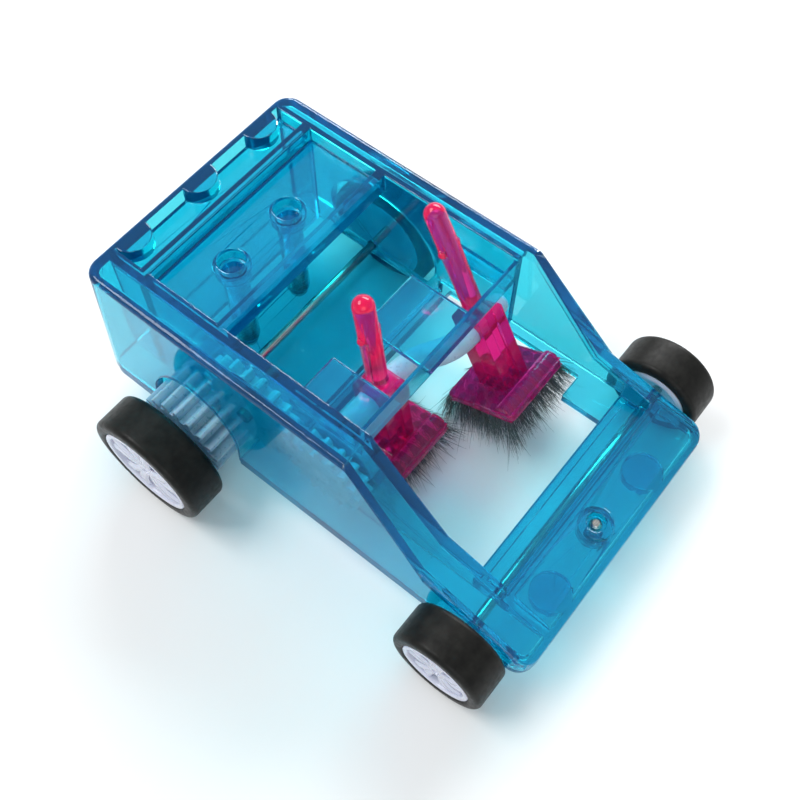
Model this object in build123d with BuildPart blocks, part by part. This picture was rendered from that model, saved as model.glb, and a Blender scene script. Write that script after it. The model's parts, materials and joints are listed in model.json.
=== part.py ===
from build123d import *
import math
import os

# Small push-along sweeper car: a clear moulded body on four wheels. The rear axle turns a gear
# train in the driver-side wall, which turns a two-throw crank that walks two brush arms.
# Millimetres. +Z is up, the nose points to -Y, the gear side is -X, the ground is Z = 0.

os.makedirs("parts", exist_ok=True)

# ---- driving dimensions -----------------------------------------------------------------
LENGTH = 106.4            # body, nose to tail
ROOF_Z = 39.3             # top of the rear body
SEAM_Z = 10.0             # body shell sits on the base plate here
BASE_Z = 8.0              # underside of the base plate
HALF_TOP = 28.8           # half width at the roof
HALF_SEAM = 31.0          # half width at the seam, the side walls flare outward
WALL = 2.0                # outer walls
SKIN = 1.5                # roof strips and decks
CORNER_R = 3.8            # upright corners of the body
NOSE_Y = -LENGTH / 2
TAIL_Y = LENGTH / 2

FRONT_AXLE_Y, FRONT_AXLE_Z = -40.0, 10.0
REAR_AXLE_Y, REAR_AXLE_Z = 27.3, 13.1
AXLE_R = 1.0
AXLE_PLAY = 0.08          # radial clearance of a turning axle in the body

NEAR_WALL_X = -23.1       # inner wall of the gear channel, channel side
NEAR_BAY_X = -21.1        # same wall, bay side
FAR_BAY_X = 24.2          # inner wall of the far side, bay side
FAR_WALL_X = 25.8
BRIDGE_TOP_Z = 33.0
BRIDGE_FRONT_Y, BRIDGE_BACK_Y = -8.7, 7.3

CRANK_Y, CRANK_Z = -3.3, 23.2
THROW = 3.4               # crank pin offset from the crank axis
THROW_ANGLE = 158         # direction of the far pin, degrees from +Y toward +Z
PIN_R = 2.5
PIN_PLAY = 0.06
NEAR_ARM_X, FAR_ARM_X = -6.4, 17.0
NEAR_TILT, FAR_TILT = 7, 27          # lean of each arm toward the tail

MODULE = 1.0
ADDENDUM, DEDENDUM = 0.95, 1.2        # tooth height above and below the pitch circle, in modules
DRIVE_TEETH, IDLER_TEETH, CRANK_TEETH = 18, 20, 16
GEAR_INNER_X, GEAR_OUTER_X = -23.7, -26.1
DRIVE_OUTER_X = -35.0
MESH_GAP = 0.05           # extra distance between meshing centres
CENTRE_SHIFT = 2.5        # the body is drawn about x = 0, but the wheels reach further on -X


# ---- saving a piece -------------------------------------------------------------------------
def save(piece, name):
    """Moves a finished piece so that the car stands centred on the origin, and writes it."""
    placed = Location((CENTRE_SHIFT, 0, 0)) * piece
    placed.label = name
    export_step(placed, f"parts/{name}.step")


# ---- where the idler gear sits --------------------------------------------------------------
def place_idler():
    """Centre of the idler, meshing with the drive gear below it and the crank gear ahead of it."""
    to_drive = MODULE * (DRIVE_TEETH + IDLER_TEETH) / 2 + MESH_GAP
    to_crank = MODULE * (CRANK_TEETH + IDLER_TEETH) / 2 + MESH_GAP
    dy, dz = CRANK_Y - REAR_AXLE_Y, CRANK_Z - REAR_AXLE_Z
    span = math.hypot(dy, dz)
    along = (to_drive ** 2 - to_crank ** 2 + span ** 2) / (2 * span)
    off = math.sqrt(to_drive ** 2 - along ** 2)
    ey, ez = dy / span, dz / span
    return REAR_AXLE_Y + along * ey + off * ez, REAR_AXLE_Z + along * ez - off * ey


IDLER_Y, IDLER_Z = place_idler()
IDLER_PIN_R, IDLER_PIN_END_X = 1.5, -27.3
IDLER_TIP_R = MODULE * (IDLER_TEETH / 2 + ADDENDUM)


# ---- body shell ---------------------------------------------------------------------------
def side_profile(inset):
    """Outline of the car seen from the side, moved inward by inset at the top."""
    return [
        (TAIL_Y, SEAM_Z - 6), (TAIL_Y, ROOF_Z - inset), (-10.4 + inset * 0.4, ROOF_Z - inset),
        (-28.2 + inset * 0.6, 20.3 - inset), (-50.0, 14.3 - inset), (NOSE_Y, 12.6 - inset),
        (NOSE_Y, SEAM_Z - 6),
    ]


def flared_block(inset, bottom_z):
    """The body's flared block with rounded upright corners, inset on every side."""
    slope = (HALF_SEAM - HALF_TOP) / (ROOF_Z - SEAM_Z)
    with BuildPart() as block:
        for level in (bottom_z, ROOF_Z + 2):
            half = HALF_TOP + slope * (ROOF_Z - level) - inset
            with BuildSketch(Plane.XY.offset(level)):
                RectangleRounded(2 * half, LENGTH - 2 * inset, CORNER_R - inset)
        loft(ruled=True)
    return block.part


def trimmed_block(inset, top_inset, bottom_z):
    """The flared block cut to the side profile."""
    block = flared_block(inset, bottom_z)
    with BuildPart() as trimmed:
        with BuildSketch(Plane.YZ):
            with BuildLine():
                Polyline(*side_profile(top_inset), close=True)
            make_face()
        extrude(amount=HALF_SEAM + 10, both=True)
        add(block, mode=Mode.INTERSECT)
    return trimmed.part


def span_box(x, y, z):
    """A box from three (low, high) spans."""
    centre = Location(((x[0] + x[1]) / 2, (y[0] + y[1]) / 2, (z[0] + z[1]) / 2))
    size = (abs(span[1] - span[0]) for span in (x, y, z))
    return centre * Box(*size, mode=Mode.PRIVATE)


def rod(x, y, z, radius):
    """A round rod along X from x[0] to x[1]."""
    middle = Location(((x[0] + x[1]) / 2, y, z), (0, 90, 0))
    return middle * Cylinder(radius, abs(x[1] - x[0]), mode=Mode.PRIVATE)


def upright(x, y, z, radius):
    """A round post along Z from z[0] to z[1]."""
    return Location((x, y, (z[0] + z[1]) / 2)) * Cylinder(radius, z[1] - z[0], mode=Mode.PRIVATE)


CROSS_WALLS = ((23.4, 25.6), (42.6, 44.8))      # Y spans of the two cross walls
BAY_BACK_Y = 51.6
DECK_TOP_Z = 36.0
BEAM_BACK_Y = -41.5       # upright back wall of the nose beam
BAY_FRONT_Y = -35.2       # front edge of the sweeping bay
FRONT_BAY_X = 27.0        # far side of the front bay, where the far inner wall is left out
DRIVE_ARCH_R = 11.0
SCREW_X = 8.0
SCREW_Y = 34.8
NOSE_SCREW_Y = -47.0
COLUMN_XS = (-17.0, 1.0, 18.5)     # half-round columns along the tail wall
COLUMN_R = 4.0
CHANNEL_TOP_Z = 13.0      # top of the low cover over the front axle
CUP_R, CUP_FLOOR_Z, CUP_WALL = 2.8, 33.0, 0.8
SCREW_R, SCREW_HOLE_R = 1.2, 1.4
SCREW_LENGTH = 8.0
SCREW_TIP_Z = BASE_Z + SCREW_LENGTH
POST_R = 2.6
NOSE_BOSS_R, NOSE_BOSS_TOP_Z = 3.5, 15.4
NOSE_BORE_R, NOSE_RECESS_Z = 1.9, 13.8
NOSE_PAD_X, NOSE_PAD_TOP_Z, NOSE_PAD_R = 15.5, 12.6, 4.0
LIP_TOP_Z = 38.3
SLOT_WIDTH, SLOT_FRONT_Y = 8.6, -7.9
LIP_THICK = 0.8
BASE_OPENING_X, BASE_OPENING_BACK_Y = 27.2, 8.0
LEDGE_X, LEDGE_BACK_Y = 21.0, -25.5
FOOT_CLEAR_Z = 16.0       # the far inner wall stops here above the brush feet
RAMP_TOP_Z = 14.0
RIM_ROUND = 1.1           # rounding along the outer top edges
JOURNAL_R = 2.0
REAR_NEAR_X, REAR_FAR_X = -45.4, 36.4     # outer faces of the wheels; the rear axle sits off centre
FRONT_NEAR_X, FRONT_FAR_X = -40.4, 40.4
WHEEL_WELL_R, WHEEL_WELL_X = 14.4, 27.2   # arch the far rear wheel stands in
INNER_BORE_X = (-27.0, -20.0)             # span that passes right through the near inner wall
REAR_R, FRONT_R = REAR_AXLE_Z, FRONT_AXLE_Z
REAR_RIM_R, FRONT_RIM_R = 10.3, 7.5
REAR_WIDTH, FRONT_WIDTH = 8.6, 8.8
HUB_RIM, HUB_BOSS_R = 1.3, 2.4            # wall of the rim, radius of the centre boss
HUB_DISH, HUB_WEB_BACK, HUB_BORE_STOP = 2.4, 4.0, 2.0     # depths behind the outer face
OVER = 60.0               # tall enough to pass right through the body

inner_volume = trimmed_block(WALL, SKIN, SEAM_Z - 1)

outer_volume = trimmed_block(0, 0, SEAM_Z)
skyline = [edge for edge in outer_volume.edges() if edge.center().Z > SEAM_Z + 0.5
           and abs(edge.tangent_at(0.5).Z) < 0.7 and abs(edge.tangent_at(0.5).X) < 0.5
           and abs(edge.center().X) > HALF_TOP - 6]
outer_volume = outer_volume.fillet(RIM_ROUND, skyline)
base_blank = trimmed_block(0.25, 0, BASE_Z) & span_box((-OVER, OVER), (NOSE_Y, TAIL_Y), (0, SEAM_Z))

with BuildPart() as body_shell:
    add(outer_volume)
    # hollow of the gear channel and of the far double wall
    add(inner_volume & span_box((-OVER, NEAR_WALL_X), (NOSE_Y, TAIL_Y), (0, OVER)), mode=Mode.SUBTRACT)
    add(inner_volume & span_box((FAR_WALL_X, OVER), (BRIDGE_FRONT_Y, TAIL_Y), (0, OVER)),
        mode=Mode.SUBTRACT)
    # hollows under the rear deck, and the shallow trays above it
    for y in ((CROSS_WALLS[0][0] - 1, CROSS_WALLS[1][0]), (CROSS_WALLS[1][1], BAY_BACK_Y)):
        add(span_box((NEAR_BAY_X, FAR_BAY_X), y, (0, DECK_TOP_Z - SKIN)), mode=Mode.SUBTRACT)
    for y in ((CROSS_WALLS[0][1], CROSS_WALLS[1][0]), (CROSS_WALLS[1][1], BAY_BACK_Y)):
        add(span_box((NEAR_BAY_X, FAR_BAY_X), y, (DECK_TOP_Z, OVER)), mode=Mode.SUBTRACT)
    # open middle bay behind the bridge lip, and open front bay
    add(span_box((NEAR_BAY_X, FAR_BAY_X), (BRIDGE_FRONT_Y, CROSS_WALLS[0][0]), (0, OVER)),
        mode=Mode.SUBTRACT)
    add(span_box((NEAR_BAY_X, FRONT_BAY_X), (BAY_FRONT_Y, BRIDGE_FRONT_Y), (0, OVER)), mode=Mode.SUBTRACT)
    add(inner_volume & span_box((0, OVER), (BAY_FRONT_Y, BRIDGE_FRONT_Y), (0, OVER)),
        mode=Mode.SUBTRACT)
    # nose beam: hollow under its skin, and the covered channel the front axle runs in
    add(inner_volume & span_box((NEAR_BAY_X, OVER), (NOSE_Y, BEAM_BACK_Y - SKIN), (0, OVER)),
        mode=Mode.SUBTRACT)
    add(span_box((NEAR_BAY_X, FRONT_BAY_X), (BEAM_BACK_Y, BAY_FRONT_Y - SKIN), (0, CHANNEL_TOP_Z - SKIN)),
        mode=Mode.SUBTRACT)
    add(span_box((NEAR_BAY_X, FRONT_BAY_X), (BEAM_BACK_Y, BAY_FRONT_Y), (CHANNEL_TOP_Z, OVER)),
        mode=Mode.SUBTRACT)
    # three half-round columns standing in the tail tray
    for x in COLUMN_XS:
        column = Location((x, BAY_BACK_Y, (DECK_TOP_Z + ROOF_Z) / 2)) * Cylinder(
            COLUMN_R, ROOF_Z - DECK_TOP_Z, mode=Mode.PRIVATE)
        add(column & span_box((-OVER, OVER), (0, BAY_BACK_Y + 0.5), (0, OVER)))
    # posts hanging from the deck, each under a round cup, that take the two screws from below
    for x in (-SCREW_X, SCREW_X):
        add(upright(x, SCREW_Y, (CUP_FLOOR_Z - SKIN, DECK_TOP_Z - SKIN), CUP_R + CUP_WALL))
        add(upright(x, SCREW_Y, (SEAM_Z, CUP_FLOOR_Z - SKIN), POST_R))
        add(upright(x, SCREW_Y, (CUP_FLOOR_Z, OVER), CUP_R), mode=Mode.SUBTRACT)
        add(upright(x, SCREW_Y, (0, SCREW_TIP_Z + 1), SCREW_R), mode=Mode.SUBTRACT)
    # screw boss and the two round pads under the nose skin
    add(upright(0, NOSE_SCREW_Y, (SEAM_Z, NOSE_BOSS_TOP_Z), NOSE_BOSS_R))
    for x in (-NOSE_PAD_X, NOSE_PAD_X):
        add(upright(x, NOSE_SCREW_Y - 0.6, (SEAM_Z, NOSE_PAD_TOP_Z), NOSE_PAD_R))
    add(upright(0, NOSE_SCREW_Y, (0, OVER), SCREW_R), mode=Mode.SUBTRACT)
    add(upright(0, NOSE_SCREW_Y, (NOSE_RECESS_Z, OVER), NOSE_BORE_R), mode=Mode.SUBTRACT)
    # bridge between the bays with its upright front lip, slotted from behind for the two arms
    add(span_box((NEAR_BAY_X - 0.5, FAR_BAY_X + 0.5), (BRIDGE_FRONT_Y, BRIDGE_BACK_Y),
                 (BRIDGE_TOP_Z - SKIN, BRIDGE_TOP_Z)))
    add(span_box((NEAR_BAY_X - 0.5, FAR_BAY_X + 0.5), (BRIDGE_FRONT_Y, BRIDGE_FRONT_Y + LIP_THICK),
                 (BRIDGE_TOP_Z - SKIN, LIP_TOP_Z)))
    for x in (NEAR_ARM_X, FAR_ARM_X):
        add(span_box((x - SLOT_WIDTH / 2, x + SLOT_WIDTH / 2), (SLOT_FRONT_Y, BRIDGE_BACK_Y + 1),
                     (BRIDGE_TOP_Z - SKIN - 1, BRIDGE_TOP_Z + 1)), mode=Mode.SUBTRACT)
    # room for the far brush foot under the far inner wall
    add(span_box((FAR_BAY_X - 1, FAR_WALL_X + 1), (BRIDGE_FRONT_Y - 1, BASE_OPENING_BACK_Y + 1),
                 (0, FOOT_CLEAR_Z)), mode=Mode.SUBTRACT)
    # bores for the axles and the crank journal, and the arch the drive gear stands in
    add(rod((-OVER, OVER), FRONT_AXLE_Y, FRONT_AXLE_Z, AXLE_R + AXLE_PLAY), mode=Mode.SUBTRACT)
    add(rod((-OVER, OVER), REAR_AXLE_Y, REAR_AXLE_Z, AXLE_R + AXLE_PLAY), mode=Mode.SUBTRACT)
    add(rod(INNER_BORE_X, CRANK_Y, CRANK_Z, JOURNAL_R + PIN_PLAY), mode=Mode.SUBTRACT)
    add(rod(INNER_BORE_X, IDLER_Y, IDLER_Z, IDLER_PIN_R), mode=Mode.SUBTRACT)
    add(rod((GEAR_OUTER_X - 0.5, GEAR_INNER_X + 0.5), IDLER_Y, IDLER_Z, IDLER_TIP_R + 0.3),
        mode=Mode.SUBTRACT)
    add(rod((-OVER, NEAR_WALL_X), REAR_AXLE_Y, REAR_AXLE_Z, DRIVE_ARCH_R), mode=Mode.SUBTRACT)
    add(rod((WHEEL_WELL_X, OVER), REAR_AXLE_Y, REAR_AXLE_Z, WHEEL_WELL_R), mode=Mode.SUBTRACT)
    add(span_box((-OVER, NEAR_WALL_X), (REAR_AXLE_Y - DRIVE_ARCH_R, REAR_AXLE_Y + DRIVE_ARCH_R),
                 (0, REAR_AXLE_Z)), mode=Mode.SUBTRACT)
save(body_shell.part, "body_shell")


# ---- base plate ---------------------------------------------------------------------------
with BuildPart() as base_plate:
    add(base_blank)
    # through opening the brushes reach the ground by, and the notch for the drive gear
    add(span_box((NEAR_BAY_X, BASE_OPENING_X), (BAY_FRONT_Y, BASE_OPENING_BACK_Y), (0, OVER)),
        mode=Mode.SUBTRACT)
    add(span_box((-OVER, NEAR_WALL_X), (REAR_AXLE_Y - DRIVE_ARCH_R, REAR_AXLE_Y + DRIVE_ARCH_R),
                 (0, OVER)), mode=Mode.SUBTRACT)
    add(rod((WHEEL_WELL_X, OVER), REAR_AXLE_Y, REAR_AXLE_Z, WHEEL_WELL_R), mode=Mode.SUBTRACT)
    add(span_box((LEDGE_X, BASE_OPENING_X), (BAY_FRONT_Y, LEDGE_BACK_Y), (BASE_Z, SEAM_Z)))
    # low sill the crumbs are swept over
    add(span_box((NEAR_BAY_X + 0.3, FAR_BAY_X - 0.3), (BASE_OPENING_BACK_Y, BASE_OPENING_BACK_Y + SKIN),
                 (BASE_Z, RAMP_TOP_Z)))
    # clearance holes for the two rear screws
    for x in (-SCREW_X, SCREW_X):
        add(upright(x, SCREW_Y, (0, OVER), SCREW_HOLE_R), mode=Mode.SUBTRACT)
    # half bore for the front axle, and the stepped hole for the nose screw
    add(rod((-OVER, OVER), FRONT_AXLE_Y, FRONT_AXLE_Z, AXLE_R + AXLE_PLAY), mode=Mode.SUBTRACT)
    add(upright(0, NOSE_SCREW_Y, (0, OVER), SCREW_HOLE_R), mode=Mode.SUBTRACT)
save(base_plate.part, "base_plate")


# ---- axles --------------------------------------------------------------------------------
def axle(near_face, far_face, y, z):
    """A plain steel axle with chamfered ends, ending inside the two hubs."""
    with BuildPart() as bar:
        add(rod((near_face + AXLE_SET_IN, far_face - AXLE_SET_IN), y, z, AXLE_R))
        chamfer(bar.edges().filter_by(GeomType.CIRCLE), 0.25)
    return bar.part


AXLE_SET_IN = 3.0         # from a wheel's outer face to the end of its axle
save(axle(REAR_NEAR_X, REAR_FAR_X, REAR_AXLE_Y, REAR_AXLE_Z), "rear_axle")
save(axle(FRONT_NEAR_X, FRONT_FAR_X, FRONT_AXLE_Y, FRONT_AXLE_Z), "front_axle")


# ---- wheels -------------------------------------------------------------------------------
def tyre(radius, rim_radius, width):
    """A smooth tyre with rounded shoulders, axis along X, outer face toward +X at x = 0."""
    with BuildPart() as ring:
        with BuildSketch(Plane.XZ):
            with Locations((-width / 2, (radius + rim_radius) / 2)):
                Rectangle(width, radius - rim_radius)
            outer = vertices().filter_by(lambda v: v.Z > radius - 0.01)
            fillet(outer, 1.0)
        revolve(axis=Axis.X)
    return ring.part


def wheel_hub(rim_radius, width):
    """A dished wheel: rim, web and centre boss, with a blind bore for the axle."""
    with BuildPart() as hub:
        with BuildSketch(Plane.YZ.offset(-width)):
            Circle(rim_radius)
        extrude(amount=width)
        with BuildSketch(Plane.YZ):
            Circle(rim_radius - HUB_RIM)
            Circle(HUB_BOSS_R, mode=Mode.SUBTRACT)
        extrude(amount=-HUB_DISH, mode=Mode.SUBTRACT)
        with BuildSketch(Plane.YZ.offset(-width)):
            Circle(rim_radius - HUB_RIM)
            Circle(HUB_BOSS_R, mode=Mode.SUBTRACT)
        extrude(amount=width - HUB_WEB_BACK, mode=Mode.SUBTRACT)
        with BuildSketch(Plane.YZ.offset(-width)):
            Circle(AXLE_R)
        extrude(amount=width - HUB_BORE_STOP, mode=Mode.SUBTRACT)
    return hub.part


def place_wheel(piece, face_x, y, z, name):
    """Puts a wheel piece made at the origin on its axle, the outer face at face_x."""
    turn = Location((0, 0, 0), (0, 0, 0 if face_x > 0 else 180))
    save(Location((face_x, y, z)) * turn * piece, name)


for face_x, side_name in ((REAR_NEAR_X, "near"), (REAR_FAR_X, "far")):
    place_wheel(tyre(REAR_R, REAR_RIM_R, REAR_WIDTH), face_x, REAR_AXLE_Y, REAR_AXLE_Z,
                f"rear_tyre_{side_name}")
    place_wheel(wheel_hub(REAR_RIM_R, REAR_WIDTH), face_x, REAR_AXLE_Y, REAR_AXLE_Z,
                f"rear_hub_{side_name}")
for face_x, side_name in ((FRONT_NEAR_X, "near"), (FRONT_FAR_X, "far")):
    place_wheel(tyre(FRONT_R, FRONT_RIM_R, FRONT_WIDTH), face_x, FRONT_AXLE_Y, FRONT_AXLE_Z,
                f"front_tyre_{side_name}")
    place_wheel(wheel_hub(FRONT_RIM_R, FRONT_WIDTH), face_x, FRONT_AXLE_Y, FRONT_AXLE_Z,
                f"front_hub_{side_name}")


# ---- gear train ---------------------------------------------------------------------------
def gear_outline(teeth, phase):
    """One closed outline of a 20 degree involute gear, a tooth centred at the phase angle."""
    pitch_r = MODULE * teeth / 2
    base_r = pitch_r * math.cos(math.radians(20))
    tip_r, root_r = pitch_r + ADDENDUM * MODULE, pitch_r - DEDENDUM * MODULE
    involute = math.tan(math.radians(20)) - math.radians(20)
    half_tooth = math.pi / (2 * teeth) - 0.06 * MODULE / pitch_r

    def flank_angle(r):
        """Half the angular width of a tooth at radius r."""
        if r <= base_r:
            return half_tooth + involute
        pressure = math.acos(base_r / r)
        return half_tooth + involute - (math.tan(pressure) - pressure)

    def at(r, angle):
        return r * math.cos(angle), r * math.sin(angle)

    start_r = max(base_r, root_r + 0.2)
    radii = [start_r, (start_r + pitch_r) / 2, pitch_r, (pitch_r + tip_r) / 2, tip_r]
    step = 2 * math.pi / teeth
    for tooth in range(teeth):
        middle = math.radians(phase) + tooth * step
        rise = [at(r, middle - flank_angle(r)) for r in radii]
        fall = [at(r, middle + flank_angle(r)) for r in reversed(radii)]
        root_half = flank_angle(root_r)
        Line(at(root_r, middle - root_half), rise[0])
        Spline(*rise)
        ThreePointArc(rise[-1], at(tip_r, middle), fall[0])
        Spline(*fall)
        Line(fall[-1], at(root_r, middle + root_half))
        ThreePointArc(at(root_r, middle + root_half), at(root_r, middle + step / 2),
                      at(root_r, middle + step - root_half))


def gear(teeth, phase, y, z, x, bore_r):
    """A spur gear on the axis through (y, z), filling the X span, with a bore."""
    with BuildPart() as wheel:
        with BuildSketch(Plane.YZ.offset(min(x))):
            with BuildLine():
                gear_outline(teeth, phase)
            make_face()
            Circle(bore_r, mode=Mode.SUBTRACT)
        extrude(amount=max(x) - min(x))
    return Location((0, y, z)) * wheel.part


to_idler = math.degrees(math.atan2(IDLER_Z - REAR_AXLE_Z, IDLER_Y - REAR_AXLE_Y))
to_crank = math.degrees(math.atan2(CRANK_Z - IDLER_Z, CRANK_Y - IDLER_Y))
drive_phase = to_idler
idler_phase = to_idler + 180 + 180 / IDLER_TEETH
idler_pitch = 360 / IDLER_TEETH
nearest = round((to_crank - idler_phase) / idler_pitch)
idler_tooth_off = idler_phase + nearest * idler_pitch - to_crank
crank_phase = to_crank + 180 - idler_tooth_off * IDLER_TEETH / CRANK_TEETH + 180 / CRANK_TEETH

with BuildPart() as drive_gear:
    add(gear(DRIVE_TEETH, drive_phase, REAR_AXLE_Y, REAR_AXLE_Z, (DRIVE_OUTER_X, GEAR_INNER_X), AXLE_R))
save(drive_gear.part, "drive_gear")

with BuildPart() as idler_gear:
    add(gear(IDLER_TEETH, idler_phase, IDLER_Y, IDLER_Z, (GEAR_OUTER_X, GEAR_INNER_X),
             IDLER_PIN_R + PIN_PLAY))
save(idler_gear.part, "idler_gear")

with BuildPart() as crank_gear:
    add(gear(CRANK_TEETH, crank_phase, CRANK_Y, CRANK_Z, (GEAR_OUTER_X, GEAR_INNER_X), JOURNAL_R))
save(crank_gear.part, "crank_gear")

with BuildPart() as idler_pin:
    add(rod((IDLER_PIN_END_X, NEAR_BAY_X), IDLER_Y, IDLER_Z, IDLER_PIN_R))
save(idler_pin.part, "idler_pin")


# ---- crankshaft ---------------------------------------------------------------------------
throw_y = THROW * math.cos(math.radians(THROW_ANGLE))
throw_z = THROW * math.sin(math.radians(THROW_ANGLE))
FAR_PIN_Y, FAR_PIN_Z = CRANK_Y + throw_y, CRANK_Z + throw_z
NEAR_PIN_Y, NEAR_PIN_Z = CRANK_Y - throw_y, CRANK_Z - throw_z
ARM_HALF_X = 3.5
FLANGE_X, FLANGE_R = (-20.7, -18.0), 7.0
CRANK_END_X = 23.9

with BuildPart() as crankshaft:
    add(rod((GEAR_OUTER_X, FLANGE_X[1]), CRANK_Y, CRANK_Z, JOURNAL_R))
    add(rod(FLANGE_X, CRANK_Y, CRANK_Z, FLANGE_R))
    with BuildLine() as bend_line:
        near_bend = (NEAR_ARM_X + ARM_HALF_X + 0.5, NEAR_PIN_Y, NEAR_PIN_Z)
        far_bend = (FAR_ARM_X - ARM_HALF_X - 0.5, FAR_PIN_Y, FAR_PIN_Z)
        Line((FLANGE_X[1] - 0.5, NEAR_PIN_Y, NEAR_PIN_Z), near_bend)
        Spline(near_bend, far_bend, tangents=((1, 0, 0), (1, 0, 0)))
        Line(far_bend, (CRANK_END_X, FAR_PIN_Y, FAR_PIN_Z))
    with BuildSketch(Plane(bend_line.line @ 0, z_dir=(1, 0, 0))):
        Circle(PIN_R)
    sweep(path=bend_line.line)
    end_rim = crankshaft.edges().filter_by(GeomType.CIRCLE).sort_by(Axis.X)[-1]
    fillet(end_rim, 1.4)
save(crankshaft.part, "crankshaft")


# ---- brush arms ---------------------------------------------------------------------------
LEG_DEPTH = 7.6
LEG_TOP, FOOT_DROP = 3.3, 15.8       # above and below the pin along the arm
TIP_RISE = 26.9                      # centre of the rounded tip above the pin
FOOT_SIZE, FOOT_THICK = 17.6, 1.6
SHANK_R = 2.1
GROOVE_WIDTH, GROOVE_DEPTH = 2.2, 0.6        # upright groove in the front of the leg
ROLL_R, ROLL_SET_BACK = 2.0, 2.6     # half-round roll along the front of the foot
NUB_R, NUB_DROP = 0.8, 8.0           # two moulding nubs on the shank below its tip
TUFT_COLUMNS, TUFT_ROWS = 4, 3
TUFT_PITCH_X, TUFT_PITCH_Y, TUFT_SET_BACK = 4.0, 3.6, 1.6
TUFT_ROOT_R, TUFT_TIP_R, TUFT_SPLAY, TUFT_LENGTH = 1.2, 1.6, 1.08, 2.2


def brush_arm(x, pin_y, pin_z, tilt, name):
    """One pink arm made upright at the origin of its pin, then leaned toward the tail and placed."""
    with BuildPart() as arm:
        with BuildSketch(Plane.XY.offset(-FOOT_DROP)):
            Rectangle(2 * ARM_HALF_X, LEG_DEPTH)
        extrude(amount=FOOT_DROP + LEG_TOP)
        chamfer(arm.edges().group_by(Axis.Z)[-1], 0.5)
        with BuildSketch(Plane.XY.offset(-FOOT_DROP - FOOT_THICK)):
            RectangleRounded(FOOT_SIZE, FOOT_SIZE, 1.2)
        extrude(amount=FOOT_THICK)
        add(span_box((-GROOVE_WIDTH / 2, GROOVE_WIDTH / 2),
                     (-LEG_DEPTH / 2 - 1, -LEG_DEPTH / 2 + GROOVE_DEPTH), (-FOOT_DROP, LEG_TOP + 1)),
            mode=Mode.SUBTRACT)
        add(rod((-FOOT_SIZE / 2 + 0.2, FOOT_SIZE / 2 - 0.2), -FOOT_SIZE / 2 + ROLL_SET_BACK,
                -FOOT_DROP - 0.4, ROLL_R))
        with BuildSketch(Plane.XY.offset(LEG_TOP - 0.5)):
            Circle(SHANK_R)
        extrude(amount=TIP_RISE - LEG_TOP + 0.5)
        with Locations((0, 0, TIP_RISE)):
            Sphere(SHANK_R)
        for side in (-1, 1):
            with Locations((side * SHANK_R, 0, TIP_RISE - NUB_DROP)):
                Sphere(NUB_R)
        add(rod((-ARM_HALF_X - 1, ARM_HALF_X + 1), 0, 0, PIN_R + PIN_PLAY), mode=Mode.SUBTRACT)
    save(Location((x, pin_y, pin_z), (-tilt, 0, 0)) * arm.part, name)


def brush_tufts(x, pin_y, pin_z, tilt, name):
    """The bristles under one foot: rows of tapered tufts set in the foot plate."""
    root_z = -FOOT_DROP - FOOT_THICK
    with BuildPart() as tufts:
        for column in range(TUFT_COLUMNS):
            for row in range(TUFT_ROWS):
                across = (column - (TUFT_COLUMNS - 1) / 2) * TUFT_PITCH_X
                back = (row - (TUFT_ROWS - 1) / 2) * TUFT_PITCH_Y + TUFT_SET_BACK
                with BuildSketch(Plane(origin=(across, back, root_z))):
                    Circle(TUFT_ROOT_R)
                tip = (across * TUFT_SPLAY, back * TUFT_SPLAY, root_z - TUFT_LENGTH)
                with BuildSketch(Plane(origin=tip)):
                    Circle(TUFT_TIP_R)
                loft()
    save(Location((x, pin_y, pin_z), (-tilt, 0, 0)) * tufts.part, name)


brush_arm(FAR_ARM_X, FAR_PIN_Y, FAR_PIN_Z, FAR_TILT, "far_brush_arm")
brush_arm(NEAR_ARM_X, NEAR_PIN_Y, NEAR_PIN_Z, NEAR_TILT, "near_brush_arm")
brush_tufts(FAR_ARM_X, FAR_PIN_Y, FAR_PIN_Z, FAR_TILT, "far_bristles")
brush_tufts(NEAR_ARM_X, NEAR_PIN_Y, NEAR_PIN_Z, NEAR_TILT, "near_bristles")


# ---- screws -------------------------------------------------------------------------------
HEAD_R, HEAD_HEIGHT = 2.0, 1.2
CROSS_LENGTH, CROSS_WIDTH, CROSS_DEPTH = 2.4, 0.5, 0.7
NOSE_SCREW_LENGTH = 7.0


def pan_screw(length, x, y):
    """A pan-head screw with a cross slot, its head under the base plate and its shank going up."""
    with BuildPart() as screw:
        with BuildSketch(Plane.XY):
            Circle(HEAD_R)
        extrude(amount=HEAD_HEIGHT)
        chamfer(screw.edges().group_by(Axis.Z)[-1], 0.4)
        with BuildSketch(Plane.XY):
            Circle(SCREW_R)
        extrude(amount=-length)
        chamfer(screw.edges().group_by(Axis.Z)[0], 0.5)
        with BuildSketch(Plane.XY.offset(HEAD_HEIGHT)):
            Rectangle(CROSS_LENGTH, CROSS_WIDTH)
            Rectangle(CROSS_WIDTH, CROSS_LENGTH)
        extrude(amount=-CROSS_DEPTH, mode=Mode.SUBTRACT)
    return Location((x, y, BASE_Z), (180, 0, 0)) * screw.part


rear_pair = [pan_screw(SCREW_LENGTH, x, SCREW_Y) for x in (-SCREW_X, SCREW_X)]
save(Compound(rear_pair), "rear_screws")
save(pan_screw(NOSE_SCREW_LENGTH, 0, NOSE_SCREW_Y), "nose_screw")
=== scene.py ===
import json
import math
import random

import bmesh
import bpy
from mathutils import Matrix, Vector


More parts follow.
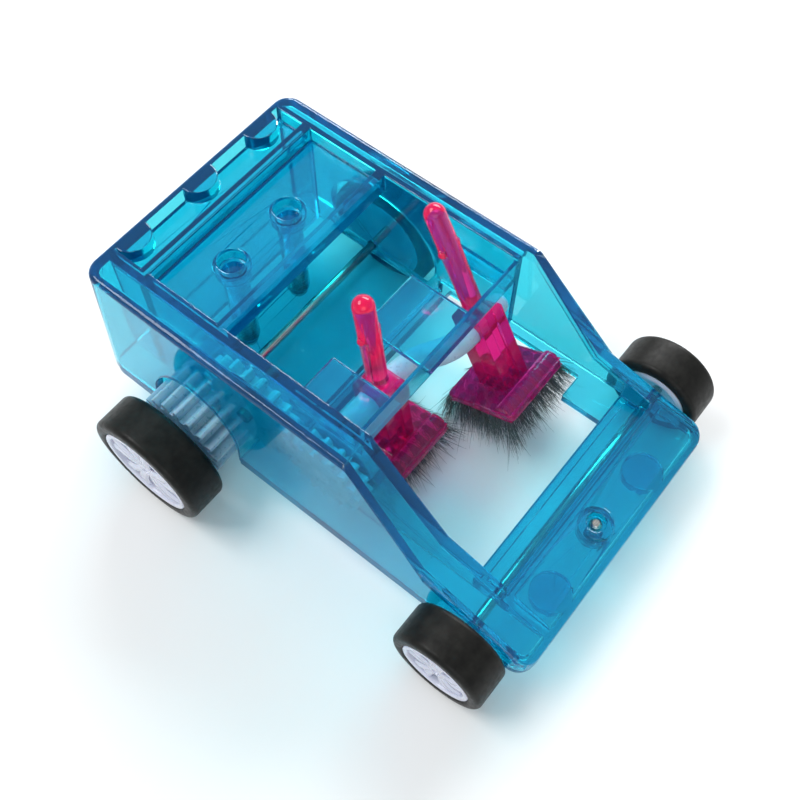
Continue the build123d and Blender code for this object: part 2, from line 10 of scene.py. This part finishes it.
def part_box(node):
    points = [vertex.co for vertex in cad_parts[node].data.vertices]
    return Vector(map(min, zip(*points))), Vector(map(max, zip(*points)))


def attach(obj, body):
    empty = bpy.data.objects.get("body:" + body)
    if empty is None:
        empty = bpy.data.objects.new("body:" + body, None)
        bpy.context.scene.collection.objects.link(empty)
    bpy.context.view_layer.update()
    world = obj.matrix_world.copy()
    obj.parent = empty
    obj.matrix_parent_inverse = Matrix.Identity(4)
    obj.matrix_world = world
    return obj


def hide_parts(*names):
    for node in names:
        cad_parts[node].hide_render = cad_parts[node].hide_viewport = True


# The desk sweeper: CAD pieces in clear plastic and steel, with turned wheels and real bristles.
# Lengths are metres, as in the frame; a number times MM is in millimetres.
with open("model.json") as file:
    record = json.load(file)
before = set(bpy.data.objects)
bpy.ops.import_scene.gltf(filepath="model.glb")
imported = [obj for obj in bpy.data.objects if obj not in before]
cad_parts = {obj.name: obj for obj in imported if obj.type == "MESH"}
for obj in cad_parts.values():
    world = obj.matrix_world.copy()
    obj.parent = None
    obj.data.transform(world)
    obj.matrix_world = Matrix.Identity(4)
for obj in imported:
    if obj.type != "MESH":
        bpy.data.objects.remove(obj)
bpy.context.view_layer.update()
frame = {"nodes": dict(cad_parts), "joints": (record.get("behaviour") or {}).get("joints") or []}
nodes = frame["nodes"]
scene = bpy.context.scene
MM = 0.001


# ---- building blocks for materials --------------------------------------------------------
class Finish:
    """One material: a Principled shader, its output, and the noise that drives its detail."""

    def __init__(self, name):
        self.material = bpy.data.materials.new(name)
        self.material.use_nodes = True
        self.tree = self.material.node_tree
        self.tree.nodes.clear()
        self.output = self.add("ShaderNodeOutputMaterial")
        self.shader = self.add("ShaderNodeBsdfPrincipled")
        self.surface = self.shader.outputs["BSDF"]
        self.link(self.surface, self.output.inputs["Surface"])
        self.place = self.add("ShaderNodeTexCoord").outputs["Object"]

    def add(self, kind, **settings):
        node = self.tree.nodes.new(kind)
        for key, value in settings.items():
            setattr(node, key, value)
        return node

    def link(self, source, target):
        self.tree.links.new(source, target)

    def set(self, **values):
        """Sets plain values on the shader's own sockets; an underscore stands for a space."""
        for key, value in values.items():
            self.shader.inputs[key.replace("_", " ")].default_value = value

    def noise(self, scale, detail=4.0, roughness=0.55, stretch=(1.0, 1.0, 1.0)):
        """A noise factor in object space; the scale is in waves per metre."""
        mapping = self.add("ShaderNodeMapping")
        mapping.inputs["Scale"].default_value = stretch
        self.link(self.place, mapping.inputs["Vector"])
        noise = self.add("ShaderNodeTexNoise")
        noise.inputs["Scale"].default_value = scale
        noise.inputs["Detail"].default_value = detail
        noise.inputs["Roughness"].default_value = roughness
        self.link(mapping.outputs["Vector"], noise.inputs["Vector"])
        return noise.outputs["Fac"]

    def ramp(self, factor, low, high, start=0.35, end=0.65):
        """Maps a factor to a range of grey values."""
        spread = self.add("ShaderNodeMapRange")
        spread.inputs["From Min"].default_value = start
        spread.inputs["From Max"].default_value = end
        spread.inputs["To Min"].default_value = low
        spread.inputs["To Max"].default_value = high
        self.link(factor, spread.inputs["Value"])
        return spread.outputs["Result"]

    def colour(self, factor, low, high, start=0.35, end=0.65):
        """Base colour that drifts between two colours."""
        mix = self.add("ShaderNodeMix", data_type="RGBA")
        for socket in mix.inputs:
            if socket.type == "RGBA":
                socket.default_value = (*(low if socket.name == "A" else high), 1.0)
        self.link(self.ramp(factor, 0.0, 1.0, start, end), mix.inputs["Factor"])
        self.link(next(o for o in mix.outputs if o.type == "RGBA"), self.shader.inputs["Base Color"])

    def rough(self, factor, low, high):
        self.link(self.ramp(factor, low, high), self.shader.inputs["Roughness"])

    def bump(self, factor, height, strength=1.0, before=None):
        """Surface relief of the given height in metres."""
        bump = self.add("ShaderNodeBump")
        bump.inputs["Strength"].default_value = strength
        bump.inputs["Distance"].default_value = height
        self.link(factor, bump.inputs["Height"])
        if before is not None:
            self.link(before, bump.inputs["Normal"])
        self.link(bump.outputs["Normal"], self.shader.inputs["Normal"])
        return bump.outputs["Normal"]

    def scatter(self, colour, share):
        """A share of the light comes straight back, as from slightly cloudy plastic."""
        cloud = self.add("ShaderNodeBsdfDiffuse")
        cloud.inputs["Color"].default_value = (*colour, 1.0)
        mix = self.add("ShaderNodeMixShader")
        mix.inputs["Fac"].default_value = share
        self.link(self.surface, mix.inputs[1])
        self.link(cloud.outputs["BSDF"], mix.inputs[2])
        self.surface = mix.outputs["Shader"]

    def let_light_through(self, tint):
        """Shadow rays pass straight through, dyed a little, so that light reaches what is behind."""
        path = self.add("ShaderNodeLightPath")
        clear = self.add("ShaderNodeBsdfTransparent")
        clear.inputs["Color"].default_value = (*tint, 1.0)
        mix = self.add("ShaderNodeMixShader")
        self.link(path.outputs["Is Shadow Ray"], mix.inputs["Fac"])
        self.link(self.surface, mix.inputs[1])
        self.link(clear.outputs["BSDF"], mix.inputs[2])
        self.link(mix.outputs["Shader"], self.output.inputs["Surface"])

    def fill(self, colour, density):
        """Dye in the plastic: light is absorbed with every millimetre it travels."""
        dye = self.add("ShaderNodeVolumeAbsorption")
        dye.inputs["Color"].default_value = (*colour, 1.0)
        dye.inputs["Density"].default_value = density
        self.link(dye.outputs["Volume"], self.output.inputs["Volume"])


def clear_plastic(name, tint, dye, density, shade, cloud, surface=0.03):
    """Moulded clear plastic: dyed through, slightly cloudy, with flow waviness and fine scratches."""
    finish = Finish(name)
    finish.set(IOR=1.5, Transmission_Weight=1.0, Specular_IOR_Level=0.5)
    finish.colour(finish.noise(60.0), tint, tuple(min(1.0, c * 1.06) for c in tint))
    finish.rough(finish.noise(2600.0, detail=6.0), surface, surface + 0.05)
    waves = finish.bump(finish.noise(90.0, detail=1.5), 0.00005, 0.35)
    finish.bump(finish.noise(1800.0, stretch=(1.0, 0.12, 1.0)), 0.000004, 0.25, before=waves)
    finish.fill(dye, density)
    finish.scatter(*cloud)
    finish.let_light_through(shade)
    return finish.material


def rubber():
    finish = Finish("tyre")
    finish.set(IOR=1.5, Specular_IOR_Level=0.16, Sheen_Weight=0.02, Sheen_Roughness=0.4)
    finish.colour(finish.noise(500.0, detail=8.0), (0.006, 0.006, 0.0055), (0.013, 0.013, 0.0115))
    finish.rough(finish.noise(900.0, detail=6.0), 0.34, 0.50)
    grain = finish.bump(finish.noise(6500.0), 0.00002, 0.35)
    finish.bump(finish.noise(350.0, detail=2.0), 0.00004, 0.25, before=grain)
    return finish.material


def white_plastic():
    finish = Finish("hub_white")
    finish.set(IOR=1.5, Coat_Weight=0.25, Coat_Roughness=0.08, Subsurface_Weight=0.04,
               Subsurface_Scale=0.0005)
    finish.colour(finish.noise(240.0), (0.55, 0.57, 0.69), (0.62, 0.64, 0.75))
    finish.rough(finish.noise(1500.0), 0.16, 0.27)
    finish.bump(finish.noise(900.0, detail=3.0), 0.00001, 0.3)
    return finish.material


def frosted_plastic(name, low, high, clarity):
    """Undyed translucent plastic, milky rather than clear."""
    finish = Finish(name)
    finish.set(IOR=1.49, Transmission_Weight=clarity, Subsurface_Weight=0.4, Subsurface_Scale=0.0015)
    finish.colour(finish.noise(300.0), low, high)
    finish.rough(finish.noise(1200.0), 0.26, 0.40)
    finish.bump(finish.noise(1400.0, detail=3.0), 0.000012, 0.4)
    return finish.material


def drawn_steel():
    finish = Finish("steel")
    finish.set(Metallic=1.0, IOR=2.5, Anisotropic=0.4)
    finish.colour(finish.noise(150.0), (0.46, 0.47, 0.45), (0.62, 0.62, 0.59))
    finish.rough(finish.noise(2500.0, stretch=(0.05, 1.0, 1.0)), 0.16, 0.30)
    finish.bump(finish.noise(5000.0, stretch=(0.03, 1.0, 1.0)), 0.000004, 0.5)
    return finish.material


def brush_fibre():
    finish = Finish("bristle")
    finish.set(IOR=1.5, Sheen_Weight=0.3, Sheen_Roughness=0.5)
    finish.colour(finish.noise(1500.0), (0.012, 0.020, 0.018), (0.045, 0.060, 0.054))
    finish.rough(finish.noise(2000.0), 0.45, 0.7)
    finish.bump(finish.noise(9000.0), 0.00001, 0.3)
    return finish.material


# Each clear plastic: surface tint, dye and its density per metre, colour of its shadow, and the
# colour and share of its cloudiness.
CLEAR_BLUE = {
    "tint": (0.36, 0.90, 0.92), "dye": (0.0, 0.90, 0.945), "density": 620.0,
    "shade": (0.56, 0.77, 0.78), "cloud": ((0.0, 0.25, 0.60), 0.10),
}
CLEAR_PINK = {
    "tint": (1.0, 0.15, 0.55), "dye": (1.0, 0.0, 0.66), "density": 270.0,
    "shade": (0.98, 0.60, 0.82), "cloud": ((1.0, 0.03, 0.28), 0.20),
}
body_blue = clear_plastic("body_clear_blue", **CLEAR_BLUE)
base_blue = clear_plastic("base_clear_blue", **CLEAR_BLUE)
arm_pink = clear_plastic("arm_pink", **CLEAR_PINK, surface=0.04)
tyre_black = rubber()
hub_white = white_plastic()
# The gears are white plastic; their darkened blue-grey base colour is painted shade, standing for the
# blue-tinted light that reaches them under the clear body.
gear_white = frosted_plastic("gear_white", (0.22, 0.42, 0.54), (0.32, 0.52, 0.64), 0.12)
crank_white = frosted_plastic("crank_white", (0.42, 0.50, 0.62), (0.53, 0.61, 0.72), 0.08)
steel = drawn_steel()
fibre = brush_fibre()


# ---- CAD pieces keep their shape and get softened edges and their material ------------------
WELD_GAP = 0.002 * MM         # vertices closer than this are one
SEAM_GAP = 0.02 * MM          # parts the base from the body, so that the two clear solids don't touch
SHELL_EDGE, BASE_EDGE, GEAR_EDGE = 0.25 * MM, 0.2 * MM, 0.12 * MM
SHARP_ANGLE = math.radians(40)


def dress(node, material, edge=0.0, shrink=0.0):
    """Gives a CAD piece its material; the modifiers only round its edges or part it from a neighbour."""
    piece = nodes[node]
    piece.data.materials.clear()
    piece.data.materials.append(material)
    weld = piece.modifiers.new("weld", "WELD")
    weld.merge_threshold = WELD_GAP
    if shrink:
        part = piece.modifiers.new("part", "DISPLACE")
        part.strength = -shrink
        part.mid_level = 0.0
    if edge:
        soften = piece.modifiers.new("soften", "BEVEL")
        soften.width = edge
        soften.segments = 3
        soften.limit_method = "ANGLE"
        soften.angle_limit = SHARP_ANGLE
        soften.use_clamp_overlap = False
        soften.harden_normals = False


dress("body_shell", body_blue, edge=SHELL_EDGE)
dress("base_plate", base_blue, edge=BASE_EDGE, shrink=SEAM_GAP)
for name in ("rear_axle", "front_axle", "rear_screws", "nose_screw", "idler_pin"):
    dress(name, steel)
for name in ("drive_gear", "idler_gear", "crank_gear"):
    dress(name, gear_white, edge=GEAR_EDGE)
dress("crankshaft", crank_white)
for name in ("far_brush_arm", "near_brush_arm"):
    dress(name, arm_pink, edge=SHELL_EDGE)


# ---- new pieces ---------------------------------------------------------------------------
def new_piece(name, solid, material, body, replaced):
    """Links a finished mesh, and ties it to its body and the CAD node it stands for."""
    mesh = bpy.data.meshes.new(name)
    solid.to_mesh(mesh)
    solid.free()
    piece = bpy.data.objects.new(name, mesh)
    scene.collection.objects.link(piece)
    mesh.materials.append(material)
    for face in mesh.polygons:
        face.use_smooth = True
    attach(piece, body)
    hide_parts(replaced)
    return piece


def keep_edges_crisp(piece, degrees):
    """Marks the hard edges so that smooth shading stops there."""
    mesh = piece.data
    solid = bmesh.new()
    solid.from_mesh(mesh)
    for edge in solid.edges:
        if len(edge.link_faces) == 2 and edge.calc_face_angle(0.0) > math.radians(degrees):
            edge.smooth = False
    solid.to_mesh(mesh)
    solid.free()


# ---- wheels; their outlines are in millimetres, as (depth from the outer face, radius) -------
SHOULDER = 1.15               # rounding where a tyre's tread meets its side
RIM_ROLL = 0.4                # rounding of the rim's lip and of the middle cap
DISH_SHARE = 0.52             # depth of the hub's dish, as a share of the wheel's width
SPOKE_PAIRS = 5
SPOKE_START = 1.7             # radius at which a spoke leaves the middle
LEAN_IN, LEAN_OUT, SWEEP = 10, 15, 6   # degrees: a pair's half angle inside and outside, and its curl
SPOKE_IN, SPOKE_OUT = 0.20, 0.27       # spoke widths as shares of the rim
SPOKE_CROWN = 0.3             # how much deeper a spoke lies at its two ends
SPOKE_TOP = 0.3               # depth of a spoke's front
SPOKE_STEPS = 8
CHAMFER_DEPTH, CHAMFER_PLACE = 0.35, 0.55   # a spoke's bevelled edge, in half widths
BORE = 0.02                   # radius of the nearly closed middle


def arc(centre, radius, start, end, steps=6):
    """Points (depth, radius) on a rounded corner; angles in degrees."""
    points = []
    for step in range(steps + 1):
        angle = math.radians(start + (end - start) * step / steps)
        points.append((centre[0] + radius * math.cos(angle), centre[1] + radius * math.sin(angle)))
    return points


def lathe(solid, profile, around=144):
    """Turns a closed outline of (depth, radius) points round the X axis; depth grows inward."""
    rings = []
    for index in range(around):
        angle = 2 * math.pi * index / around
        ring = [solid.verts.new((-depth, radius * math.cos(angle), radius * math.sin(angle)))
                for depth, radius in profile]
        rings.append(ring)
    for index in range(around):
        here, there = rings[index], rings[(index + 1) % around]
        for k in range(len(profile)):
            after = (k + 1) % len(profile)
            solid.faces.new((here[k], here[after], there[after], there[k]))


def spoke(solid, start, end, width_in, width_out, root_depth):
    """A curved spoke from start to end (polar: radius, degrees), from its root up to its bevelled top."""
    sections = []
    for step in range(SPOKE_STEPS + 1):
        t = step / SPOKE_STEPS
        radius = start[0] + (end[0] - start[0]) * t
        angle = math.radians(start[1] + (end[1] - start[1]) * t * t)
        half = (width_in + (width_out - width_in) * t) / 2
        out = Vector((0, math.cos(angle), math.sin(angle)))
        side = Vector((0, -math.sin(angle), math.cos(angle)))
        top = SPOKE_TOP + SPOKE_CROWN * (2 * t - 1) ** 2
        flank = top + CHAMFER_DEPTH * half
        corners = ((-half, root_depth), (-half, flank), (-half * CHAMFER_PLACE, top),
                   (half * CHAMFER_PLACE, top), (half, flank), (half, root_depth))
        sections.append([solid.verts.new(out * radius + side * across + Vector((-depth, 0, 0)))
                         for across, depth in corners])
    for here, there in zip(sections, sections[1:]):
        for k in range(len(here)):
            after = (k + 1) % len(here)
            solid.faces.new((here[k], there[k], there[after], here[after]))
    solid.faces.new(sections[0])
    solid.faces.new(reversed(sections[-1]))


def tyre_outline(radius, rim, width):
    """Round-shouldered tread over short sides that grip the rim."""
    return (
        [(0.25, rim + 0.02), (0.0, rim + 0.35), (0.0, radius - SHOULDER - 0.5)]
        + arc((SHOULDER, radius - SHOULDER), SHOULDER, 180, 90)
        + [(width * 0.3, radius - 0.01), (width * 0.5, radius), (width * 0.7, radius - 0.01)]
        + arc((width - SHOULDER, radius - SHOULDER), SHOULDER, 90, 0)
        + [(width, rim + 0.35), (width - 0.25, rim + 0.02)]
    )


def hub_outline(rim, width, dish):
    """Rolled lip, dished web, raised middle cap and a straight barrel under the tyre."""
    back = dish + 1.2
    return (
        arc((RIM_ROLL + 0.05, rim - 0.45), RIM_ROLL, 90, 180, 4)
        + arc((RIM_ROLL + 0.05, rim - 0.85), RIM_ROLL, 180, 270, 4)
        + [(dish * 0.9, rim - 1.45), (dish, rim - 1.75), (dish + 0.1, 2.6), (0.95, 2.25)]
        + arc((0.95, 1.85), RIM_ROLL, 150, 180, 3)
        + [(0.5, 0.9), (1.1, 0.75), (1.1, BORE), (back, BORE), (back, rim - 1.6),
           (width - 0.1, rim - 1.3), (width - 0.1, rim)]
    )


def wheel(side, place):
    """A tyre and a hub for one end of an axle; place is 'rear' or 'front'."""
    tyre_name, hub_name = f"{place}_tyre_{side}", f"{place}_hub_{side}"
    body = f"{place}_wheels"
    low, high = (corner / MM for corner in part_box(tyre_name))
    hub_low, hub_high = (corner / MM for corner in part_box(hub_name))
    radius, rim = (high.z - low.z) / 2, (hub_high.z - hub_low.z) / 2
    width = high.x - low.x
    face_x, half_turn = (high.x, 0) if side == "far" else (low.x, math.pi)
    placed = Matrix.Translation(Vector((face_x, (low.y + high.y) / 2, (low.z + high.z) / 2)) * MM)
    placed = placed @ Matrix.Rotation(half_turn, 4, "Z") @ Matrix.Scale(MM, 4)
    tread = bmesh.new()
    lathe(tread, tyre_outline(radius, rim, width))
    tread.transform(placed)
    bmesh.ops.recalc_face_normals(tread, faces=tread.faces)
    tyre_piece = new_piece(tyre_name + "_look", tread, tyre_black, body, tyre_name)
    keep_edges_crisp(tyre_piece, 50)

    dish = width * DISH_SHARE
    disc = bmesh.new()
    lathe(disc, hub_outline(rim, width, dish))
    for pair in range(SPOKE_PAIRS):
        middle = pair * 360 / SPOKE_PAIRS + 90
        for lean in (-1, 1):
            spoke(disc, (SPOKE_START, middle + lean * LEAN_IN),
                  (rim - 0.95, middle + lean * LEAN_OUT + SWEEP),
                  rim * SPOKE_IN, rim * SPOKE_OUT, dish + 0.4)
    disc.transform(placed)
    bmesh.ops.recalc_face_normals(disc, faces=disc.faces)
    hub_piece = new_piece(hub_name + "_look", disc, hub_white, body, hub_name)
    keep_edges_crisp(hub_piece, 40)


for side in ("near", "far"):
    for place in ("rear", "front"):
        wheel(side, place)


# ---- bristles -----------------------------------------------------------------------------
TUFT_COLUMNS, TUFT_ROWS, FIBRES_PER_TUFT = 7, 6, 78
PAD_HALF_X, PAD_HALF_Y = 7.4 * MM, 7.0 * MM
TUFT_RADIUS = 0.6 * MM
ROOT_DEPTH = 1.2 * MM         # how far the fibres are set into the foot
FAR_LENGTH, NEAR_LENGTH = 8.2 * MM, 5.7 * MM
SPLAY, STRAY_SPLAY = 2.3, 3.6          # sideways lean of the outermost fibres, in millimetres
SPLAY_SCATTER, BOW_SCATTER = 1.2, 0.3  # millimetres
STRAY_SHARE, STRAY_SCALE = 0.05, 1.4    # how many fibres stray, and how much further they splay
SHORTEST_REACH = 0.8 * MM
FLOOR_GAP, TIP_CLEARANCE = 0.1 * MM, 0.15 * MM   # fibres end just above what the car stands on
FIBRE_CORNERS = (0.0, 2.094, 4.189)    # radians; a fibre is three-sided
FIBRE_TAPER = ((0.0, 1.0), (0.4, 0.9), (0.75, 0.6), (1.0, 0.25))   # place along it, thickness
TIP_RADIUS = 2.1 * MM         # rounded top of an arm


def tilt_of(arm):
    """How far an arm leans toward the tail, from its pin to the centre of its rounded tip."""
    spots = [v.co for v in nodes[arm].data.vertices]
    top = max(spots, key=lambda v: v.z)
    joint = next(j for j in frame["joints"] if j["name"] == arm.split("_")[0] + "_arm_pivot")
    pivot = Vector(joint["pos_m"])
    return -math.atan2(top.y - pivot.y, top.z - TIP_RADIUS - pivot.z)


def bristle(solid, root, tip, bow, thickness):
    """One tapered fibre from root to tip, bowed sideways."""
    along = tip - root
    across = along.cross(Vector((0.3, 0.9, 0.2))).normalized()
    other = along.cross(across).normalized()
    rings = []
    for t, scale in FIBRE_TAPER:
        centre = root + along * t + bow * (t * (1 - t) * 4)
        rings.append([solid.verts.new(centre + (across * math.cos(a) + other * math.sin(a))
                                      * thickness * scale)
                      for a in FIBRE_CORNERS])
    for here, there in zip(rings, rings[1:]):
        for k in range(len(here)):
            after = (k + 1) % len(here)
            solid.faces.new((here[k], here[after], there[after], there[k]))
    solid.faces.new(reversed(rings[0]))
    solid.faces.new(rings[-1])


def bristle_pad(name, body, arm, length, seed):
    """Splayed tufts under one foot; their roots are set in the foot and show through it."""
    rng = random.Random(seed)
    block = [v.co.copy() for v in nodes[name].data.vertices]
    centre = sum(block, Vector()) / len(block)
    lean = Matrix.Rotation(tilt_of(arm), 3, "X")
    down, forth, right = lean @ Vector((0, 0, -1)), lean @ Vector((0, -1, 0)), Vector((1, 0, 0))
    root_height = max((v - centre).dot(-down) for v in block) + ROOT_DEPTH
    solid = bmesh.new()
    for tuft in range(TUFT_COLUMNS * TUFT_ROWS):
        u = (tuft % TUFT_COLUMNS) / (TUFT_COLUMNS - 1) * 2 - 1
        v = (tuft // TUFT_COLUMNS) / (TUFT_ROWS - 1) * 2 - 1
        for _ in range(FIBRES_PER_TUFT):
            angle = rng.uniform(0, 2 * math.pi)
            out = TUFT_RADIUS * math.sqrt(rng.random())
            root = centre - down * root_height
            root += right * (u * PAD_HALF_X + out * math.cos(angle))
            root += forth * (v * PAD_HALF_Y + out * math.sin(angle))
            stray = rng.random() < STRAY_SHARE
            spread = STRAY_SPLAY if stray else SPLAY
            splay = right * (u * abs(u) * spread + rng.gauss(0, SPLAY_SCATTER))
            splay += forth * (v * abs(v) * spread + rng.gauss(0, SPLAY_SCATTER))
            to_floor = max(SHORTEST_REACH, root.z / -down.z - FLOOR_GAP)
            reach = min(rng.uniform(0.85, 1.0) * length, to_floor)
            tip = root + down * reach + splay * MM * (STRAY_SCALE if stray else 1.0)
            tip.z = max(tip.z, TIP_CLEARANCE)
            bow = (right * rng.gauss(0, BOW_SCATTER) + forth * rng.gauss(0, BOW_SCATTER)) * MM
            bristle(solid, root, tip, bow, rng.uniform(0.05, 0.08) * MM)
    bmesh.ops.recalc_face_normals(solid, faces=solid.faces)
    new_piece(name + "_look", solid, fibre, body, name)


bristle_pad("far_bristles", "far_arm", "far_brush_arm", FAR_LENGTH, seed=11)
bristle_pad("near_bristles", "near_arm", "near_brush_arm", NEAR_LENGTH, seed=12)


# ---- floor, light and camera ----------------------------------------------------------------
FLOOR_HALF = 1.6
AIM_LOW, AIM_HIGH = (0.0, 0.0, 0.01), (0.0, 0.0, 0.02)   # points on the car that the lights face
SKY_COLOUR, SKY_STRENGTH = (0.93, 0.96, 1.0, 1.0), 0.47
# the photograph's viewing angle: degrees, then where the camera stood
CAMERA_AZIMUTH, CAMERA_ELEVATION, CAMERA_ROLL = -51.49, 61.93, 0.19
CAMERA_PLACE = (-0.07826, -0.06416, 0.20225)
CAMERA_LENS, CAMERA_SENSOR = 48.0, 36.0
BOUNCES, CLEAR_BOUNCES = 24, 48        # enough to see through every wall of clear plastic


def floor():
    finish = Finish("table")
    finish.set(IOR=1.45, Specular_IOR_Level=0.25)
    finish.colour(finish.noise(5.0), (0.80, 0.81, 0.80), (0.84, 0.845, 0.84))
    finish.rough(finish.noise(40.0), 0.45, 0.55)
    solid = bmesh.new()
    bmesh.ops.create_grid(solid, x_segments=2, y_segments=2, size=FLOOR_HALF)
    mesh = bpy.data.meshes.new("table")
    solid.to_mesh(mesh)
    solid.free()
    table = bpy.data.objects.new("table", mesh)
    scene.collection.objects.link(table)
    mesh.materials.append(finish.material)


def soft_light(name, at, toward, size, power, colour=(1.0, 1.0, 1.0)):
    lamp = bpy.data.lights.new(name, "AREA")
    lamp.shape = "RECTANGLE"
    lamp.size, lamp.size_y = size
    lamp.energy = power
    lamp.color = colour
    light = bpy.data.objects.new(name, lamp)
    scene.collection.objects.link(light)
    light.location = at
    light.rotation_euler = (Vector(toward) - Vector(at)).to_track_quat("-Z", "Y").to_euler()


def studio():
    world = bpy.data.worlds.new("studio")
    world.use_nodes = True
    back = world.node_tree.nodes["Background"]
    back.inputs["Color"].default_value = SKY_COLOUR
    back.inputs["Strength"].default_value = SKY_STRENGTH
    scene.world = world
    soft_light("ceiling", (-0.25, 0.45, 0.75), AIM_LOW, (0.5, 0.4), 4.6)
    soft_light("window", (0.62, 0.24, 0.45), AIM_HIGH, (0.7, 0.25), 6.8)
    soft_light("fill", (-0.5, -0.45, 0.45), AIM_LOW, (0.6, 0.5), 1.6, (0.95, 0.98, 1.0))


def photo_camera():
    """The photograph's own viewing angle: where the camera stood and how it was turned."""
    azimuth, elevation = math.radians(CAMERA_AZIMUTH), math.radians(CAMERA_ELEVATION)
    roll = math.radians(CAMERA_ROLL)
    back = Vector((math.sin(azimuth) * math.cos(elevation), -math.cos(azimuth) * math.cos(elevation),
                   math.sin(elevation)))
    right = Vector((math.cos(azimuth), math.sin(azimuth), 0.0))
    up = back.cross(right)
    turned_right = right * math.cos(roll) + up * math.sin(roll)
    turned_up = back.cross(turned_right)
    data = bpy.data.cameras.new("camera")
    data.sensor_width = CAMERA_SENSOR
    data.lens = CAMERA_LENS
    data.clip_start = 0.01
    camera = bpy.data.objects.new("camera", data)
    scene.collection.objects.link(camera)
    turn = Matrix((turned_right, turned_up, back)).transposed().to_4x4()
    camera.matrix_world = Matrix.Translation(CAMERA_PLACE) @ turn
    scene.camera = camera


floor()
studio()
photo_camera()
scene.view_settings.view_transform = "Standard"
scene.cycles.max_bounces = BOUNCES
scene.cycles.transmission_bounces = BOUNCES
scene.cycles.transparent_max_bounces = CLEAR_BOUNCES
